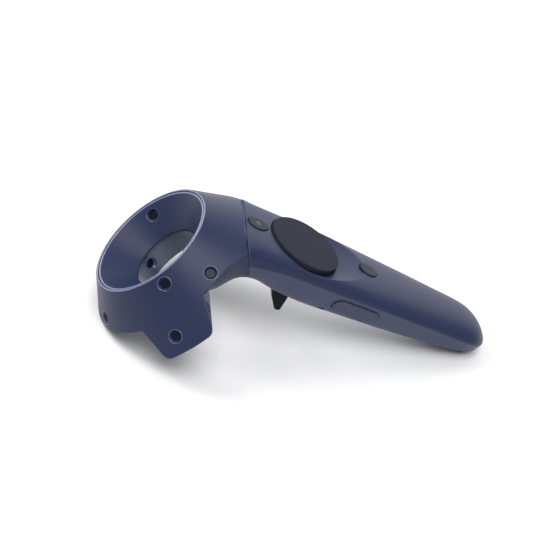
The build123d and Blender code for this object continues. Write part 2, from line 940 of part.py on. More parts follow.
# Main board with its screws' holes, cans, chips and the three switches on top
with BuildPart() as main_board:
    with BuildSketch(face_plane((board_front_x + board_back_x) / 2).offset(-board_top)):
        Rectangle(board_back_x - board_front_x, 2 * board_half_width)
    extrude(amount=-board_thickness)
    fillet(main_board.edges().filter_by(Axis.Z), boss_radius)
    for x, y in screw_spots:
        with BuildSketch(face_plane(x, y).offset(-board_top)):
            Circle(screw_radius + slide_gap)
        extrude(amount=-board_thickness, mode=Mode.SUBTRACT)

menu_switch = block(menu_plane, switch_width, switch_width, -board_top, -board_top + switch_height)
system_switch = block(system_plane, switch_width, switch_width, -board_top, -board_top + switch_height)
pad_switch = block(face_plane(0), pad_switch_width, pad_switch_width, -board_top, -board_top + switch_height)

# Grip buttons: a pill on each side that follows the lower cover's surface, with a stem to its switch
grip_out = handle_form(-grip_rise)
grip_in = handle_form(wall + seat_gap)
switch_face = grip_board_y + grip_board_thickness + grip_switch_reach
stem_start = switch_face + grip_travel + switch_slack


def grip_plane(side, reach):
    """An upright plane beside the handle, facing out on the given side."""
    return Plane(origin=(grip_x, side * reach, grip_z), x_dir=(1, 0, 0), z_dir=(0, side, 0))


def pill(side, gap, start):
    """A long bar with round ends, square to the side of the handle."""
    with BuildPart() as bar:
        with BuildSketch(grip_plane(side, start)):
            SlotOverall(grip_length + 2 * gap, grip_width + 2 * gap)
        extrude(amount=cut_over)
    return bar.part


def grip_button(side):
    """The button: the pill between the proud and the inner surface, and its stem."""
    skin = (pill(side, 0, stem_start) & grip_out) - grip_in
    stem = rod(grip_plane(side, 0), grip_stem_radius, stem_start, handle_half_width)
    return skin + (stem & grip_out - (stem - grip_in))


def grip_board(side):
    """An upright board under the main board that carries the grip switch."""
    plane = grip_plane(side, 0)
    height = -board_bottom - grip_z + grip_switch_width / 2 + seat_gap
    with BuildPart() as board:
        with BuildSketch(plane.offset(grip_board_y)):
            with Locations((0, height / 2 - grip_switch_width / 2 - seat_gap)):
                Rectangle(grip_board_length, height)
        extrude(amount=grip_board_thickness)
    return board.part


def grip_switch(side):
    """The small switch that the grip button presses."""
    start = grip_board_y + grip_board_thickness
    return block(grip_plane(side, 0), grip_switch_length, grip_switch_width, start, switch_face)


grips = {side: grip_button(side) for side in (-1, 1)}

# Trigger: a hub on a pin, with an arm that comes down through a slot and ends in a curved finger piece
hub_top = trigger_z + trigger_hub_radius
with BuildPart() as trigger:
    with BuildSketch(side_plane):
        with BuildLine():
            Polyline(
                (trigger_x, trigger_z),
                (trigger_x, hub_top),
                (arm_end_x, arm_top_z),
                (finger_tip_x + finger_tip_width, finger_tip_z),
                (finger_tip_x, finger_tip_z),
                (finger_bend_x, finger_bend_z),
                (finger_root_x, finger_root_z),
                (trigger_x, trigger_z - trigger_hub_radius),
                close=True,
            )
        outline = make_face()
        corners = outline.vertices()
        fillet(corners.sort_by(Axis.Y)[:2], finger_tip_round)
        fillet(outline.vertices().sort_by_distance((finger_bend_x, finger_bend_z))[:1], finger_bend_round)
        fillet(outline.vertices().sort_by_distance((arm_end_x, arm_top_z))[:1], finger_tip_round)
    extrude(amount=trigger_half_width, both=True)
    sides = [face for face in trigger.faces() if abs(abs(face.center().Y) - trigger_half_width) < pin_gap]
    rim = [
        edge
        for face in sides
        for edge in face.edges()
        if edge.center().Z < arm_top_z and edge.length > seat_gap
    ]
    fillet(rim, trigger_edge_round)
    with BuildSketch(side_plane):
        with Locations((trigger_x, trigger_z)):
            Circle(trigger_hub_radius)
    extrude(amount=trigger_half_width, both=True)
    with BuildSketch(side_plane):
        with Locations((trigger_x, trigger_z)):
            Circle(pin_radius + pin_gap)
    extrude(amount=cut_over, both=True, mode=Mode.SUBTRACT)
    with BuildSketch(side_plane):
        with Locations((trigger_x, trigger_z)):
            Circle(trigger_hub_radius + trigger_gap)
    extrude(amount=spring_pocket_half_width, both=True, mode=Mode.SUBTRACT)
    with BuildSketch(Plane(origin=(magnet_x, trigger_half_width, magnet_z), x_dir=(1, 0, 0), z_dir=(0, 1, 0))):
        Circle(magnet_radius)
    extrude(amount=-magnet_thickness, mode=Mode.SUBTRACT)

magnet_plane = Plane(origin=(magnet_x, trigger_half_width, magnet_z), x_dir=(1, 0, 0), z_dir=(0, 1, 0))
trigger_magnet = rod(magnet_plane, magnet_radius, -magnet_thickness, -seat_gap / 2)
pin_plane = Plane(origin=(trigger_x, 0, trigger_z), x_dir=(1, 0, 0), z_dir=(0, 1, 0))
cheek_inner = trigger_half_width + trigger_gap
cheek_outer = cheek_inner + cheek_thickness
trigger_pin = rod(pin_plane, pin_radius, -cheek_outer, cheek_outer)

# Bracket: two cheeks on a web under the main board, with the trigger's sensor and end switch
web_bottom = -board_bottom - bracket_web
with BuildPart() as trigger_bracket:
    with BuildSketch(face_plane((bracket_front_x + bracket_back_x) / 2).offset(-board_bottom)):
        Rectangle(bracket_back_x - bracket_front_x, 2 * cheek_outer)
    extrude(amount=-bracket_web)
    for side in (-1, 1):
        with BuildSketch(Plane(origin=(0, side * cheek_inner, 0), x_dir=(1, 0, 0), z_dir=(0, -1, 0))):
            with Locations((trigger_x, trigger_z)):
                Circle(cheek_radius)
            with Locations((trigger_x, (trigger_z + web_bottom) / 2)):
                Rectangle(2 * cheek_radius, web_bottom - trigger_z)
        extrude(amount=-side * cheek_thickness)
    with BuildSketch(pin_plane):
        Circle(pin_radius)
    extrude(amount=cut_over, both=True, mode=Mode.SUBTRACT)

with BuildPart() as trigger_spring:
    with BuildSketch(pin_plane.offset(-spring_pocket_half_width + seat_gap)):
        Circle(pin_radius + pin_gap + spring_wire)
        Circle(pin_radius + pin_gap, mode=Mode.SUBTRACT)
    extrude(amount=2 * (spring_pocket_half_width - seat_gap))
    with BuildSketch(face_plane(trigger_x - pin_radius - spring_wire / 2).offset(web_bottom)):
        Rectangle(spring_wire, spring_wire)
    extrude(amount=trigger_z - web_bottom)

hall_sensor = block(face_plane(hall_x), hall_size, hall_size, web_bottom - hall_height, web_bottom)
click_switch = block(face_plane(click_x), click_length, click_length, web_bottom - click_height, web_bottom)
haptic_motor = block(
    face_plane((motor_front_x + motor_back_x) / 2),
    motor_back_x - motor_front_x,
    motor_width,
    -board_bottom - motor_height,
    -board_bottom,
)

# Battery in its tray, and the ribbon that joins the main board, the battery and the tail board
battery_middle = face_plane((battery_front_x + battery_back_x) / 2)
battery_length = battery_back_x - battery_front_x
with BuildPart() as battery:
    with BuildSketch(battery_middle.offset(-battery_top)):
        Rectangle(battery_length, battery_width)
    extrude(amount=-battery_height)
    fillet(battery.edges().filter_by(Axis.X), battery_round)

tray_top = battery_top + battery_height - tray_lip
tray_length = battery_length + 2 * seat_gap
tray_width = battery_width + 2 * seat_gap
with BuildPart() as battery_tray:
    with BuildSketch(battery_middle.offset(-tray_top)):
        Rectangle(tray_length + 2 * tray_wall, tray_width + 2 * tray_wall)
    extrude(amount=-tray_lip - seat_gap - tray_wall)
    with BuildSketch(battery_middle.offset(-tray_top)):
        Rectangle(tray_length, tray_width)
    extrude(amount=-tray_lip - seat_gap, mode=Mode.SUBTRACT)
tray_feet = [
    rod(face_plane(x), tray_foot_radius, -cut_over, -tray_top - tray_lip)
    for x in (battery_front_x + tray_foot_radius, battery_back_x - tray_foot_radius)
]
tray_middle = -tray_top - tray_lip - seat_gap - tray_wall / 2
tray_under = inner - block(battery_middle, wide, wide, tray_middle, near_over)
skin_space = handle_form(wall + skin_gap)
tray = battery_tray.part & skin_space
for foot in tray_feet:
    tray = tray + (foot & tray_under & handle_side)

tail_level = nose_centre_share * handle_depth
tail_board_bottom = tail_level - socket_height / 2
tail_board_top = tail_board_bottom - tail_board_thickness
tail_middle = face_plane((tail_board_front_x + tail_board_back_x) / 2)
tail_board = block(
    tail_middle, tail_board_back_x - tail_board_front_x, tail_board_width, -tail_board_bottom, -tail_board_top
)
ribbon_front_x = board_back_x - ribbon_width
ribbon_drop_x = tail_board_front_x - 2 * ribbon_thickness
ribbon_end_x = tail_board_front_x + ribbon_width / 2
power_ribbon = side_block(
    [
        (ribbon_front_x, -board_bottom),
        (ribbon_drop_x + ribbon_thickness, -board_bottom),
        (tail_board_front_x + ribbon_thickness, ribbon_thickness - tail_board_top),
        (ribbon_end_x, ribbon_thickness - tail_board_top),
        (ribbon_end_x, -tail_board_top),
        (tail_board_front_x, -tail_board_top),
        (ribbon_drop_x, -board_bottom - ribbon_thickness),
        (ribbon_front_x, -board_bottom - ribbon_thickness),
    ],
    ribbon_width / 2,
)

# Charging socket: a thin metal box, open at the tail, with its tongue
socket_plane = Plane(origin=(socket_back_x, 0, -tail_level), x_dir=(0, 1, 0), z_dir=(1, 0, 0))
with BuildPart() as usb_socket:
    with BuildSketch(socket_plane):
        Rectangle(socket_width, socket_height)
    extrude(amount=-socket_length)
    with BuildSketch(socket_plane):
        Rectangle(socket_width - 2 * socket_wall, socket_height - 2 * socket_wall)
    extrude(amount=socket_wall - socket_length, mode=Mode.SUBTRACT)
    with BuildSketch(socket_plane.offset(-socket_length)):
        Rectangle(tongue_width, tongue_thickness)
    extrude(amount=socket_length - 2 * socket_wall)

# Antenna strip under the top cover, and the plates that join the head to the handle
antenna = block(
    face_plane(antenna_front_x + antenna_length / 2),
    antenna_length,
    antenna_width,
    -antenna_drop,
    antenna_thickness - antenna_drop,
)
joint_zone = block(seam_plane, 2 * wide, 2 * wide, -joint_plate_reach, joint_plate_reach)
joint_band = block(face_plane(0), 2 * wide, 2 * wide, -joint_plate_bottom, -joint_plate_top)
joint_skin = skin_space - handle_form(wall + skin_gap + joint_plate_thickness)
joint_plates = joint_skin & joint_zone & joint_band

# Bottom cover: bosses, the trigger's slot, grip windows, the charging port and the lanyard tunnel
lanyard_plane = Plane(origin=(lanyard_x, 0, -lanyard_drop), x_dir=(1, 0, 0), z_dir=(0, 1, 0))
lanyard_tube = rod(lanyard_plane, lanyard_radius + lanyard_wall, -handle_half_width, handle_half_width)
lower_posts = [
    rod(face_plane(x, y), boss_radius, -cut_over, -board_bottom - seat_gap / 2) for x, y in screw_spots
] + [
    rod(face_plane(tail_post_x, side * tail_post_y), tail_post_radius, -cut_over, -tail_board_bottom)
    for side in (-1, 1)
]
cavity_low = inner - lanyard_tube
for post in lower_posts:
    cavity_low = cavity_low - post
bottom_cover = (head_room & lower_cover_space) - cavity_low
bottom_cover = bottom_cover - rod(lanyard_plane, lanyard_radius, -handle_half_width, handle_half_width)
slot_half = trigger_half_width + trigger_gap
bottom_cover = bottom_cover - side_block(
    [
        (slot_front_x, trigger_z - trigger_hub_radius),
        (slot_back_x, trigger_z - trigger_hub_radius),
        (slot_back_x, -cut_over),
        (slot_front_x, -cut_over),
    ],
    slot_half,
)
pill_start = stem_start - grip_travel - slide_gap
for side in (-1, 1):
    bottom_cover = bottom_cover - pill(side, slide_gap, pill_start)
port = block(socket_plane, socket_width + slide_gap, socket_height + slide_gap, -socket_length, near_over)
bottom_cover = bottom_cover - port
top_cover = top_cover - port
with BuildPart() as cover_screws:
    for x, y in screw_spots:
        with BuildSketch(face_plane(x, y).offset(-board_top + screw_reach)):
            Circle(screw_radius)
        extrude(amount=-screw_reach - board_thickness - screw_shank)
        with BuildSketch(face_plane(x, y).offset(-board_bottom - screw_shank)):
            Circle(screw_head_radius)
        extrude(amount=-screw_head_height)
for x, y in screw_spots:
    spot = face_plane(x, y)
    bottom_cover = bottom_cover - rod(spot, screw_radius + seat_gap, -cut_over, near_over)
    bottom_cover = bottom_cover - rod(spot, screw_head_radius + seat_gap, -cut_over, -board_bottom - screw_shank)

with BuildPart() as shield_cans:
    for x in (can_front_x, can_back_x):
        with BuildSketch(face_plane(x).offset(-board_bottom)):
            Rectangle(can_length, can_width)
        extrude(amount=-can_height)

# Resting pose: the wand is turned about Y until the ring's edge and the tail touch the ground together
def lowest(piece, angle):
    """The height of a piece's lowest point once it is turned about Y."""
    return (Rot(0, angle, 0) * piece).bounding_box(optimal=True).min.Z


run = lanyard_x - ring_centre_x
pose_angle = 0.0
for turn in range(pose_turns):
    difference = lowest(bottom_cover, pose_angle) - lowest(shell, pose_angle)
    pose_angle += math.degrees(math.atan(difference / run))
ground = min(lowest(shell, pose_angle), lowest(bottom_cover, pose_angle))
posed = Rot(0, pose_angle, 0)
ring_box = (posed * shell).bounding_box(optimal=True)
tail_box = (posed * bottom_cover).bounding_box(optimal=True)
top_box = (posed * top_cover).bounding_box(optimal=True)
middle_x = (ring_box.min.X + max(tail_box.max.X, top_box.max.X)) / 2
rest_pose = Pos(-middle_x, 0, -ground) * posed
print("turned by", round(pose_angle, 4), "degrees, moved by", round(-middle_x, 4), round(-ground, 4))

pieces = {
    "head_outer_shell": shell,
    "head_funnel": head_funnel.part,
    "head_underside_cover": base,
    "head_collar": head_collar.part,
    "sensor_frame": sensor_frame.part,
    "sensor_flex": sensor_flex.part,
    "sensor_harness": sensor_harness.part,
    "sensor_windows_outer": windows_outer.part,
    "sensor_windows_funnel": windows_funnel.part,
    "sensor_windows_collar": windows_collar.part,
    "sensor_windows_underside": windows_under.part,
    "sensor_modules_outer": modules_outer.part,
    "sensor_modules_funnel": modules_funnel.part,
    "sensor_modules_collar": modules_collar.part,
    "sensor_modules_underside": modules_under.part,
    "ring_screws": ring_screws.part,
    "neck_joint_plates": joint_plates,
    "handle_top_cover": top_cover,
    "handle_bottom_cover": bottom_cover,
    "cover_screws": cover_screws.part,
    "trackpad_cap": trackpad_cap.part,
    "trackpad_touch_board": trackpad_touch_board,
    "trackpad_backplate": trackpad_backplate.part,
    "trackpad_switch": pad_switch,
    "menu_button": menu_button.part,
    "menu_switch": menu_switch,
    "system_button": system_button.part,
    "system_switch": system_switch,
    "status_light_pipe": status_light,
    "main_board": main_board.part,
    "shield_cans": shield_cans.part,
    "left_grip_button": grips[-1],
    "right_grip_button": grips[1],
    "left_grip_board": grip_board(-1),
    "right_grip_board": grip_board(1),
    "left_grip_switch": grip_switch(-1),
    "right_grip_switch": grip_switch(1),
    "trigger": trigger.part,
    "trigger_magnet": trigger_magnet,
    "trigger_pin": trigger_pin,
    "trigger_spring": trigger_spring.part,
    "trigger_bracket": trigger_bracket.part,
    "trigger_hall_sensor": hall_sensor,
    "trigger_click_switch": click_switch,
    "haptic_motor": haptic_motor,
    "battery": battery.part,
    "battery_tray": tray,
    "power_ribbon": power_ribbon,
    "tail_board": tail_board,
    "usb_socket": usb_socket.part,
    "antenna": antenna,
}
for name, piece in pieces.items():
    placed = rest_pose * piece
    placed.label = name
    export_step(placed, f"parts/{name}.step")


def told(name, spot, direction):
    """Print where a point and an axis of the handle's frame lie in the resting pose, in metres."""
    end = rest_pose * Pos(*(spot + direction))
    start = rest_pose * Pos(*spot)
    axis = end.position - start.position
    print(name, [round(v / 1000, 6) for v in start.position], [round(v, 6) for v in axis])


told("trackpad", Vector(0, 0, pad_rise), pad_out * -1)
told("face buttons", Vector(menu_x, 0, 0), Vector(0, 0, -1))
told("system", Vector(system_x, 0, 0), Vector(0, 0, -1))
told("left grip", Vector(grip_x, -handle_half_width, grip_z), Vector(0, 1, 0))
told("trigger", Vector(trigger_x, 0, trigger_z), Vector(0, -1, 0))
told("ring axis", ring_centre, ring_up)
told("lanyard", Vector(lanyard_x, 0, -lanyard_drop), Vector(0, -1, 0))
told("socket", Vector(socket_back_x, 0, -tail_level), Vector(1, 0, 0))
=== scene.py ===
import json
import math
import bmesh
import bpy
from mathutils import Matrix, Vector


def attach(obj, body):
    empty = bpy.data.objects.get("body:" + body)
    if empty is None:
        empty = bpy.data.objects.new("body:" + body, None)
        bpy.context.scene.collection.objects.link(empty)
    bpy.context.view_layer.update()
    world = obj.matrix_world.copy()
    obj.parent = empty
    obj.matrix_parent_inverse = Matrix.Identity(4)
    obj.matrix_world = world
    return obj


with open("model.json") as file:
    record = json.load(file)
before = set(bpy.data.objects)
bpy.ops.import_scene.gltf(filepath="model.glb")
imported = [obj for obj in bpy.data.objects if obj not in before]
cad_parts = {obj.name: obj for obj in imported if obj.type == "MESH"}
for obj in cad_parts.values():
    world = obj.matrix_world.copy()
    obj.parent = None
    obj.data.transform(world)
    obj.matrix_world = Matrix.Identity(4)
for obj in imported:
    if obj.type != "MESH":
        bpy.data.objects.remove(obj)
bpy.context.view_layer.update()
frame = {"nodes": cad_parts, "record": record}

nodes = frame["nodes"]
mergeDistance = 0.000001  # metres

# Camera at the photograph's angle
cameraView = {
    "place": (-0.146342, -0.523728, 0.410363),
    "turn": (54.0825, -11.9459, -5.5005),  # degrees
    "lens": 81.818,  # mm
    "sensor": 36,  # mm wide
    "nearest": 0.01,
}


def placeCamera(view):
    camData = bpy.data.cameras.new("photoCamera")
    camData.sensor_width = view["sensor"]
    camData.lens = view["lens"]
    camData.clip_start = view["nearest"]
    cam = bpy.data.objects.new("photoCamera", camData)
    bpy.context.scene.collection.objects.link(cam)
    cam.location = view["place"]
    cam.rotation_euler = [math.radians(angle) for angle in view["turn"]]
    bpy.context.scene.camera = cam


placeCamera(cameraView)
print("camera placed")

# The handle's face and the ring, as the part has them at rest
faceFrame = {
    "padMiddle": (-0.003675, 0.0, 0.054013),
    "along": (0.951574, 0.0, -0.30742),
    "up": (0.30742, 0.0, 0.951574),
}
ringFrame = {
    "middle": (-0.083795, 0.0, 0.045427),
    "out": (0.705919, 0.0, 0.708293),
    "up": (-0.708293, 0.0, 0.705919),
}


def facePlace(x, y, z):
    along, up = Vector(faceFrame["along"]), Vector(faceFrame["up"])
    return Vector(faceFrame["padMiddle"]) + along * x + Vector((0, y, 0)) + up * z


def turnedTo(place, xDir, zDir):
    x, z = Vector(xDir).normalized(), Vector(zDir).normalized()
    y = z.cross(x)
    spot = Matrix((x, y, z)).transposed().to_4x4()
    spot.translation = place
    return spot


def newPiece(name, mesh, body, material, smooth=True):
    data = bpy.data.meshes.new(name)
    bmesh.ops.recalc_face_normals(mesh, faces=mesh.faces)
    for face in mesh.faces:
        face.smooth = smooth
    mesh.to_mesh(data)
    mesh.free()
    piece = bpy.data.objects.new(name, data)
    bpy.context.scene.collection.objects.link(piece)
    data.materials.append(material)
    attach(piece, body)


# Shared effects
grainShape = {"fineDetail": 3, "fineRough": 0.6, "patchDetail": 4, "sparkShare": 0.6}
edgeShape = {"samples": 6, "begins": 0.995, "full": 0.86}  # how far the normals agree


def newGroup(name, inputs, outputs):
    group = bpy.data.node_groups.new(name, "ShaderNodeTree")
    for label, kind, value in inputs:
        socket = group.interface.new_socket(label, in_out="INPUT", socket_type=kind)
        if value is not None:
            socket.default_value = value
    for label, kind in outputs:
        group.interface.new_socket(label, in_out="OUTPUT", socket_type=kind)
    return group, group.nodes.new("NodeGroupInput"), group.nodes.new("NodeGroupOutput")


def makeGrain(v):
    group, start, end = newGroup(
        "mouldGrain",
        [("Scale", "NodeSocketFloat", 1800.0), ("Patch Scale", "NodeSocketFloat", 45.0)],
        [("Height", "NodeSocketFloat"), ("Patches", "NodeSocketFloat")],
    )
    coords = group.nodes.new("ShaderNodeTexCoord")
    fine = group.nodes.new("ShaderNodeTexNoise")
    fine.inputs["Detail"].default_value = v["fineDetail"]
    fine.inputs["Roughness"].default_value = v["fineRough"]
    spark = group.nodes.new("ShaderNodeTexVoronoi")
    patch = group.nodes.new("ShaderNodeTexNoise")
    patch.inputs["Detail"].default_value = v["patchDetail"]
    mix = group.nodes.new("ShaderNodeMath")
    mix.operation = "MULTIPLY_ADD"
    mix.inputs[1].default_value = v["sparkShare"]
    link = group.links.new
    for texture in (fine, spark, patch):
        link(coords.outputs["Object"], texture.inputs["Vector"])
    link(start.outputs["Scale"], fine.inputs["Scale"])
    link(start.outputs["Scale"], spark.inputs["Scale"])
    link(start.outputs["Patch Scale"], patch.inputs["Scale"])
    link(spark.outputs["Distance"], mix.inputs[0])
    link(fine.outputs["Fac"], mix.inputs[2])
    link(mix.outputs[0], end.inputs["Height"])
    link(patch.outputs["Fac"], end.inputs["Patches"])
    return group


def makeEdges(v):
    group, start, end = newGroup(
        "roundedEdges",
        [("Radius", "NodeSocketFloat", 0.0004)],
        [("Edge", "NodeSocketFloat")],
    )
    soft = group.nodes.new("ShaderNodeBevel")
    soft.samples = v["samples"]
    shape = group.nodes.new("ShaderNodeNewGeometry")
    agree = group.nodes.new("ShaderNodeVectorMath")
    agree.operation = "DOT_PRODUCT"
    ramp = group.nodes.new("ShaderNodeMapRange")
    ramp.inputs["From Min"].default_value = v["begins"]
    ramp.inputs["From Max"].default_value = v["full"]
    link = group.links.new
    link(start.outputs["Radius"], soft.inputs["Radius"])
    link(soft.outputs["Normal"], agree.inputs[0])
    link(shape.outputs["Normal"], agree.inputs[1])
    link(agree.outputs["Value"], ramp.inputs["Value"])
    link(ramp.outputs["Result"], end.inputs["Edge"])
    return group


def makeStripes():
    group, start, end = newGroup(
        "stripes",
        [
            ("Scale", "NodeSocketFloat", 285.0),
            ("Turn", "NodeSocketVector", None),
            ("Waver", "NodeSocketFloat", 0.0),
        ],
        [("Height", "NodeSocketFloat")],
    )
    coords = group.nodes.new("ShaderNodeTexCoord")
    turn = group.nodes.new("ShaderNodeMapping")
    wave = group.nodes.new("ShaderNodeTexWave")
    link = group.links.new
    link(coords.outputs["Object"], turn.inputs["Vector"])
    link(start.outputs["Turn"], turn.inputs["Rotation"])
    link(turn.outputs["Vector"], wave.inputs["Vector"])
    link(start.outputs["Scale"], wave.inputs["Scale"])
    link(start.outputs["Waver"], wave.inputs["Distortion"])
    link(wave.outputs["Fac"], end.inputs["Height"])
    return group


grain, edges, stripes = makeGrain(grainShape), makeEdges(edgeShape), makeStripes()
print("shared effects built")

# What a finish has where its own row below doesn't say otherwise
plainFinish = {
    "metallic": 0.0, "specular": 0.5, "coat": 0.0, "coatRough": 0.1,
    "rough": 0.45, "roughVary": 0.05, "vary": 0.06,
    "grainScale": 1800, "patchScale": 45, "bump": 0.25, "bumpDepth": 0.00004,
    # Edge colour and share: the lighter edges are partly edge wear and partly a painted highlight
    "edge": 0.0004, "edgeShare": 0.35, "edgeGain": 1.5,
    "stripeTurn": (0, 0, 0), "waver": 0.0, "stripeShare": 4.0,
}

# What each finish looks like; colours are linear
finishes = {
    "housing": {
        "colour": (0.012, 0.019, 0.057), "rough": 0.42, "specular": 0.27, "edge": 0.0011,
        "edgeColour": (0.10, 0.115, 0.20), "edgeShare": 0.3,
    },
    # Rim beads: same plastic as the housing, painted lighter as a painted highlight on the rim
    "rimPaintedHighlight": {"colour": (0.13, 0.155, 0.26), "rough": 0.28, "specular": 0.6, "edge": 0.0001},
    # Dimple lips: painted lighter than the housing, a painted highlight for the bright crescents
    "lipPaintedHighlight": {"colour": (0.036, 0.045, 0.098), "rough": 0.22, "specular": 0.8, "edge": 0.0001},
    "lower_housing": {
        "colour": (0.039, 0.049, 0.108), "rough": 0.44, "specular": 0.35, "edge": 0.0006,
        "edgeColour": (0.12, 0.13, 0.2), "edgeShare": 0.25,
    },
    "collar": {
        "colour": (0.060, 0.072, 0.125), "rough": 0.24, "coat": 0.15, "bump": 0.03,
        "edge": 0.0002,
    },
    "inner_plastic": {"colour": (0.012, 0.012, 0.014), "rough": 0.5, "grainScale": 900},
    "flex": {
        "colour": (0.42, 0.2, 0.05), "rough": 0.3, "coat": 0.4, "stripes": 160,
        "stripeColour": (0.5, 0.3, 0.1),
    },
    "window": {
        "colour": (0.004, 0.005, 0.014), "rough": 0.25, "specular": 0.15, "bump": 0.0,
        "edge": 0.0002, "vary": 0.2,
    },
    "circuit_board": {
        "colour": (0.012, 0.07, 0.035), "rough": 0.35, "coat": 0.3, "patchScale": 300,
        "vary": 0.35, "stripes": 90, "waver": 6, "stripeShare": 2.0,
    },
    "steel": {
        "colour": (0.52, 0.52, 0.54), "rough": 0.3, "metallic": 1.0, "patchScale": 400,
        "vary": 0.12, "stripes": 500, "waver": 3, "stripeShare": 0.6,
    },
    "switch": {"colour": (0.03, 0.03, 0.032), "rough": 0.4, "grainScale": 1200},
    "trackpad": {
        "colour": (0.0145, 0.017, 0.029), "rough": 0.5, "specular": 0.045, "grainScale": 2600,
        "bump": 0.3, "edge": 0.0006, "edgeColour": (0.05, 0.055, 0.075),
    },
    "button": {
        "colour": (0.012, 0.014, 0.025), "rough": 0.3, "specular": 0.1, "edge": 0.0005,
        "edgeColour": (0.10, 0.11, 0.16),
    },
    "grip": {
        "colour": (0.034, 0.042, 0.094), "rough": 0.48, "specular": 0.4, "stripes": 285,
        "stripeTurn": (0, 45, 0), "bump": 0.6, "bumpDepth": 0.00012, "edge": 0.0006,
        "edgeColour": (0.11, 0.13, 0.2),
    },
    "trigger": {
        "colour": (0.003, 0.0035, 0.009), "rough": 0.14, "specular": 0.16, "bump": 0.06,
        "edge": 0.001,
    },
    "light": {"colour": (0.016, 0.019, 0.035), "rough": 0.15, "coat": 0.4, "bump": 0.02},
    "mark": {"colour": (0.10, 0.12, 0.18), "rough": 0.4},
    "battery": {
        "colour": (0.32, 0.33, 0.36), "rough": 0.33, "metallic": 0.85, "patchScale": 120,
        "vary": 0.15, "grainScale": 260, "bump": 0.4, "bumpDepth": 0.0002,
    },
}


def finishOf(name, values):
    v = {**plainFinish, **values}
    material = bpy.data.materials.new(name)
    material.use_nodes = True
    tree = material.node_tree
    link = tree.links.new
    shader = tree.nodes["Principled BSDF"]
    shader.inputs["Metallic"].default_value = v["metallic"]
    shader.inputs["Coat Weight"].default_value = v["coat"]
    shader.inputs["Coat Roughness"].default_value = v["coatRough"]
    shader.inputs["Specular IOR Level"].default_value = v["specular"]
    speck = tree.nodes.new("ShaderNodeGroup")
    speck.node_tree = grain
    speck.inputs["Scale"].default_value = v["grainScale"]
    speck.inputs["Patch Scale"].default_value = v["patchScale"]
    rim = tree.nodes.new("ShaderNodeGroup")
    rim.node_tree = edges
    rim.inputs["Radius"].default_value = v["edge"]
    tone = tree.nodes.new("ShaderNodeMix")
    tone.data_type = "RGBA"
    colour = v["colour"]
    edgeColour = v.get("edgeColour", [c * v["edgeGain"] for c in colour])
    tone.inputs["A"].default_value = (*[c * (1 - v["vary"]) for c in colour], 1)
    tone.inputs["B"].default_value = (*[c * (1 + v["vary"]) for c in colour], 1)
    # Edges take a lighter colour through the rounded-edge mask: partly edge wear, partly a
    # painted highlight along the rounded edges
    edgeWearAndHighlight = tree.nodes.new("ShaderNodeMix")
    edgeWearAndHighlight.data_type = "RGBA"
    edgeWearAndHighlight.inputs["B"].default_value = (*edgeColour, 1)
    part = tree.nodes.new("ShaderNodeMath")
    part.operation = "MULTIPLY"
    part.inputs[1].default_value = v["edgeShare"]
    rough = tree.nodes.new("ShaderNodeMapRange")
    rough.inputs["To Min"].default_value = v["rough"] - v["roughVary"]
    rough.inputs["To Max"].default_value = v["rough"] + v["roughVary"]
    bump = tree.nodes.new("ShaderNodeBump")
    bump.inputs["Strength"].default_value = v["bump"]
    bump.inputs["Distance"].default_value = v["bumpDepth"]
    smoothEdge = tree.nodes.new("ShaderNodeBevel")
    smoothEdge.samples = edgeShape["samples"]
    smoothEdge.inputs["Radius"].default_value = v["edge"]
    link(speck.outputs["Patches"], tone.inputs["Factor"])
    link(tone.outputs["Result"], edgeWearAndHighlight.inputs["A"])
    link(rim.outputs["Edge"], part.inputs[0])
    link(part.outputs[0], edgeWearAndHighlight.inputs["Factor"])
    link(edgeWearAndHighlight.outputs["Result"], shader.inputs["Base Color"])
    link(speck.outputs["Patches"], rough.inputs["Value"])
    link(rough.outputs["Result"], shader.inputs["Roughness"])
    link(smoothEdge.outputs["Normal"], bump.inputs["Normal"])
    link(bump.outputs["Normal"], shader.inputs["Normal"])
    height = speck.outputs["Height"]
    if "stripes" in v:
        band = tree.nodes.new("ShaderNodeGroup")
        band.node_tree = stripes
        band.inputs["Scale"].default_value = v["stripes"]
        band.inputs["Turn"].default_value = [math.radians(a) for a in v["stripeTurn"]]
        band.inputs["Waver"].default_value = v["waver"]
        both = tree.nodes.new("ShaderNodeMath")
        both.operation = "MULTIPLY_ADD"
        both.inputs[1].default_value = v["stripeShare"]
        link(band.outputs["Height"], both.inputs[0])
        link(height, both.inputs[2])
        height = both.outputs[0]
        if "stripeColour" in v:
            dark = tree.nodes.new("ShaderNodeMix")
            dark.data_type = "RGBA"
            dark.inputs["B"].default_value = (*v["stripeColour"], 1)
            link(edgeWearAndHighlight.outputs["Result"], dark.inputs["A"])
            link(band.outputs["Height"], dark.inputs["Factor"])
            link(dark.outputs["Result"], shader.inputs["Base Color"])
    link(height, bump.inputs["Height"])
    return material


materials = {name: finishOf(name, values) for name, values in finishes.items()}
slotOf = {row["node"]: row["material_slot"] for row in frame["record"]["subparts"]}
for name, node in nodes.items():
    for place in node.material_slots:
        place.material = materials[slotOf[name]]
print("finishes given to", len(nodes), "pieces")


# A round bead along a circle: its own circle is spun about the bead's axis
def addBead(mesh, bead, sides, radius, rise, steps, spot):
    ring = bmesh.ops.create_circle(mesh, segments=sides, radius=bead)["verts"]
    bmesh.ops.rotate(mesh, verts=ring, matrix=Matrix.Rotation(math.radians(90), 3, "X"))
    bmesh.ops.translate(mesh, verts=ring, vec=(radius, 0, rise))
    bmesh.ops.transform(mesh, verts=ring, matrix=spot)
    loop = list({edge for point in ring for edge in point.link_edges})
    middle, axis = spot.translation, spot.col[2].to_3d()
    bmesh.ops.spin(
        mesh, geom=ring + loop, cent=middle, axis=axis, angle=math.tau, steps=steps,
        use_merge=True,
    )


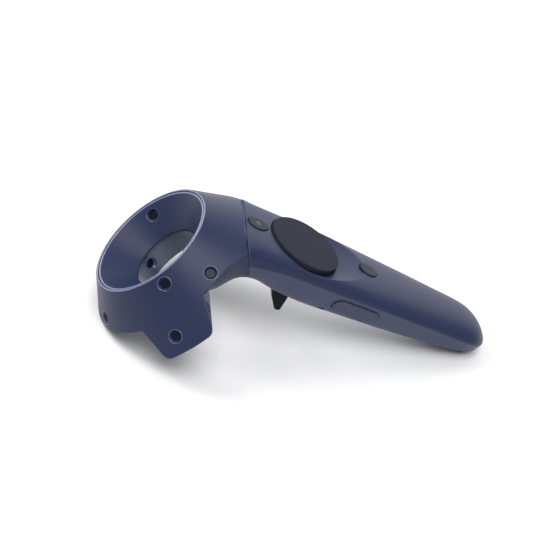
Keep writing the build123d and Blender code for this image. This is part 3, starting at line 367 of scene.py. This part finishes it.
# Rounded beads along the ring's outer rim and the funnel's lip, painted much lighter than the
# housing as a painted highlight
rimBeads = {
    "outerRadius": 0.0340, "outerDepth": 0.0006, "outerBead": 0.0007,
    "innerRadius": 0.0326, "innerDepth": 0.0007, "innerBead": 0.0006,
    "sides": 14, "steps": 160,
}


def makeRimBeads(v):
    mesh = bmesh.new()
    spot = turnedTo(Vector(ringFrame["middle"]), ringFrame["out"], ringFrame["up"])
    for side in ("outer", "inner"):
        bead, radius, depth = (v[side + what] for what in ("Bead", "Radius", "Depth"))
        addBead(mesh, bead, v["sides"], radius, -depth, v["steps"], spot)
    bmesh.ops.remove_doubles(mesh, verts=mesh.verts, dist=mergeDistance)
    newPiece("rimBeads", mesh, "handle_and_head", materials["rimPaintedHighlight"])


makeRimBeads(rimBeads)

# Rounded lips at the mouths of the sensor dimples, set out from the windows at their bottoms,
# painted lighter than the housing as a painted highlight
dimpleLips = {
    "radius": 0.00352, "bead": 0.00034, "rise": 0.00118, "steps": 36, "sides": 10,
    "flat": 0.999,  # how far the normals of a window's flat end agree
    "facing": {"outer": "away", "funnel": "inward", "collar": "inward", "underside": "below"},
}


def islandsOf(mesh):
    left, groups = set(mesh.faces), []
    while left:
        group, front = [], [left.pop()]
        while front:
            face = front.pop()
            group.append(face)
            near = {other for edge in face.edges for other in edge.link_faces} & left
            left -= near
            front += near
        groups.append(group)
    return groups


def mouthOf(faces, facing, flat):
    out = max(faces, key=lambda face: face.calc_area()).normal.copy()
    middle = sum((face.calc_center_median() for face in faces), Vector()) / len(faces)
    up = Vector(ringFrame["up"])
    spoke = middle - Vector(ringFrame["middle"])
    spoke -= up * spoke.dot(up)
    want = {"away": spoke, "inward": -spoke, "below": -up}[facing]
    if out.dot(want) < 0:
        out.negate()
    cap = [face for face in faces if face.normal.dot(out) > flat]
    area = sum(face.calc_area() for face in cap)
    weighed = (face.calc_center_median() * face.calc_area() for face in cap)
    return sum(weighed, Vector()) / area, out


def makeLips(v):
    lips = bmesh.new()
    for place, facing in v["facing"].items():
        window = bmesh.new()
        window.from_mesh(nodes["sensor_windows_" + place].data)
        bmesh.ops.remove_doubles(window, verts=window.verts, dist=mergeDistance)
        for faces in islandsOf(window):
            middle, out = mouthOf(faces, facing, v["flat"])
            spot = turnedTo(middle, out.orthogonal(), out)
            addBead(lips, v["bead"], v["sides"], v["radius"], v["rise"], v["steps"], spot)
        window.free()
    bmesh.ops.remove_doubles(lips, verts=lips.verts, dist=mergeDistance)
    newPiece("dimpleLips", lips, "handle_and_head", materials["lipPaintedHighlight"])


makeLips(dimpleLips)

# Three small bars on the menu button
menuMark = {
    "x": -0.0286, "rise": 0.00049, "length": 0.0026, "width": 0.00036, "height": 0.00012,
    "pitch": 0.00085, "bevelShare": 0.3, "bevelSteps": 2,
}


def makeMenuMark(v):
    mesh = bmesh.new()
    for row in (-1, 0, 1):
        made = bmesh.ops.create_cube(mesh, size=1.0)["verts"]
        bmesh.ops.scale(mesh, verts=made, vec=(v["width"], v["length"], v["height"]))
        bmesh.ops.translate(mesh, verts=made, vec=(row * v["pitch"], 0, 0))
    bmesh.ops.bevel(
        mesh, geom=mesh.edges[:], offset=v["height"] * v["bevelShare"],
        segments=v["bevelSteps"], profile=0.5, affect="EDGES", material=-1,
    )
    spot = turnedTo(facePlace(v["x"], 0, v["rise"]), faceFrame["along"], faceFrame["up"])
    bmesh.ops.transform(mesh, verts=mesh.verts, matrix=spot)
    newPiece("menuMark", mesh, "menu_button", materials["mark"], smooth=False)


makeMenuMark(menuMark)

# Clear lens over the status light
statusLens = {
    "x": 0.0464, "drop": -0.00012, "radius": 0.00062, "height": 0.00032,
    "around": 24, "rings": 12,
}


def makeStatusLens(v):
    mesh = bmesh.new()
    bmesh.ops.create_uvsphere(
        mesh, u_segments=v["around"], v_segments=v["rings"], radius=v["radius"],
    )
    bmesh.ops.scale(mesh, verts=mesh.verts, vec=(1, 1, v["height"] / v["radius"]))
    spot = turnedTo(facePlace(v["x"], 0, v["drop"]), faceFrame["along"], faceFrame["up"])
    bmesh.ops.transform(mesh, verts=mesh.verts, matrix=spot)
    newPiece("statusLens", mesh, "handle_and_head", materials["light"])


makeStatusLens(statusLens)

# Six-lobed drives on the heads of all screws, made as near-black stars just proud of the heads:
# painted shade standing in for the sunken sockets
screwDrive = {
    "radius": 0.00105, "inner": 0.00072, "depth": 0.00024, "proud": 0.00004,
    "lobes": 6, "sides": 24,
}
ringScrews = {"radius": 0.030, "depth": 0.02533, "angles": (180, 132, 228)}
coverScrews = {"x": 0.0205, "y": 0.0155, "drop": 0.0172}


def addDrive(mesh, v, spot):
    made = bmesh.ops.create_circle(
        mesh, cap_ends=True, segments=v["sides"], radius=v["radius"],
    )["verts"]
    waist = 1 - v["inner"] / v["radius"]
    for point in made:
        turn = math.atan2(point.co.y, point.co.x)
        point.co *= 1 - waist * (0.5 + 0.5 * math.cos(v["lobes"] * turn))
    faces = list({face for point in made for face in point.link_faces})
    up = bmesh.ops.extrude_face_region(mesh, geom=faces)["geom"]
    top = [item for item in up if isinstance(item, bmesh.types.BMVert)]
    bmesh.ops.translate(mesh, verts=top, vec=(0, 0, v["depth"]))
    whole = made + top
    bmesh.ops.translate(mesh, verts=whole, vec=(0, 0, v["proud"] - v["depth"]))
    bmesh.ops.transform(mesh, verts=whole, matrix=spot)


def makeDrives(v, ring, cover):
    mesh = bmesh.new()
    out, up = Vector(ringFrame["out"]), Vector(ringFrame["up"])
    for angle in ring["angles"]:
        turn = math.radians(angle)
        place = Vector(ringFrame["middle"]) + out * math.cos(turn) * ring["radius"]
        place += Vector((0, math.sin(turn) * ring["radius"], 0)) - up * ring["depth"]
        addDrive(mesh, v, turnedTo(place, out, -up))
    for sideX in (-1, 1):
        for sideY in (-1, 1):
            place = facePlace(sideX * cover["x"], sideY * cover["y"], -cover["drop"])
            down = -Vector(faceFrame["up"])
            addDrive(mesh, v, turnedTo(place, faceFrame["along"], down))
    # Near-black paint on the drives is painted shade for the hollows of the sockets
    dark = materials["inner_plastic"]
    newPiece("screwDrives", mesh, "handle_and_head", dark, smooth=False)


makeDrives(screwDrive, ringScrews, coverScrews)
print("small pieces made")

# Floor and light
studio = {
    "floorColour": (0.74, 0.74, 0.745, 1),
    "floorRough": 0.85,
    "floorSize": 6.0,
    "floorDrop": 0.0002,
    "worldColour": (1.0, 1.0, 1.0, 1),
    "worldStrength": 0.54,
    "sunFrom": (-0.02, -0.45, 1.0),
    "sunAngle": 45,  # degrees, wide for soft shadows
    "sunStrength": 2.3,
    # place, aim, size, watts
    "lamps": [
        ("key", (-0.6, 0.15, 0.75), (-0.03, 0, 0.04), 0.3, 2.8),
        ("rear", (-0.61, 0.7, 0.46), (-0.06, 0, 0.03), 0.3, 3.2),
        ("back", (0.75, 1.1, 0.75), (0.03, 0, 0.03), 1.5, 8.5),
    ],
}


def makeFloor(v):
    mesh = bmesh.new()
    bmesh.ops.create_grid(mesh, x_segments=1, y_segments=1, size=v["floorSize"])
    bmesh.ops.translate(mesh, verts=mesh.verts, vec=(0, 0, -v["floorDrop"]))
    data = bpy.data.meshes.new("floor")
    mesh.to_mesh(data)
    mesh.free()
    floor = bpy.data.objects.new("floor", data)
    bpy.context.scene.collection.objects.link(floor)
    paint = bpy.data.materials.new("paleFloor")
    paint.use_nodes = True
    shader = paint.node_tree.nodes["Principled BSDF"]
    shader.inputs["Base Color"].default_value = v["floorColour"]
    shader.inputs["Roughness"].default_value = v["floorRough"]
    # The floor is clear from below, so the underside can be looked at
    side = paint.node_tree.nodes.new("ShaderNodeNewGeometry")
    clear = paint.node_tree.nodes.new("ShaderNodeBsdfTransparent")
    either = paint.node_tree.nodes.new("ShaderNodeMixShader")
    link = paint.node_tree.links.new
    link(side.outputs["Backfacing"], either.inputs["Fac"])
    link(shader.outputs["BSDF"], either.inputs[1])
    link(clear.outputs["BSDF"], either.inputs[2])
    link(either.outputs["Shader"], paint.node_tree.nodes["Material Output"].inputs["Surface"])
    data.materials.append(paint)


def addLamp(name, kind, watts):
    lamp = bpy.data.lights.new(name, kind)
    lamp.energy = watts
    holder = bpy.data.objects.new(name, lamp)
    bpy.context.scene.collection.objects.link(holder)
    return lamp, holder


def lightStudio(v):
    world = bpy.data.worlds.new("studio")
    world.use_nodes = True
    sky = world.node_tree.nodes["Background"]
    sky.inputs["Color"].default_value = v["worldColour"]
    sky.inputs["Strength"].default_value = v["worldStrength"]
    bpy.context.scene.world = world
    sun, holder = addLamp("softSun", "SUN", v["sunStrength"])
    sun.angle = math.radians(v["sunAngle"])
    holder.rotation_euler = Vector(v["sunFrom"]).to_track_quat("Z", "Y").to_euler()
    for name, place, aim, size, watts in v["lamps"]:
        lamp, holder = addLamp(name, "AREA", watts)
        lamp.size = size
        holder.location = place
        toward = Vector(aim) - Vector(place)
        holder.rotation_euler = toward.to_track_quat("-Z", "Y").to_euler()
    bpy.context.scene.view_settings.view_transform = "Standard"


makeFloor(studio)
lightStudio(studio)
print("studio lit")
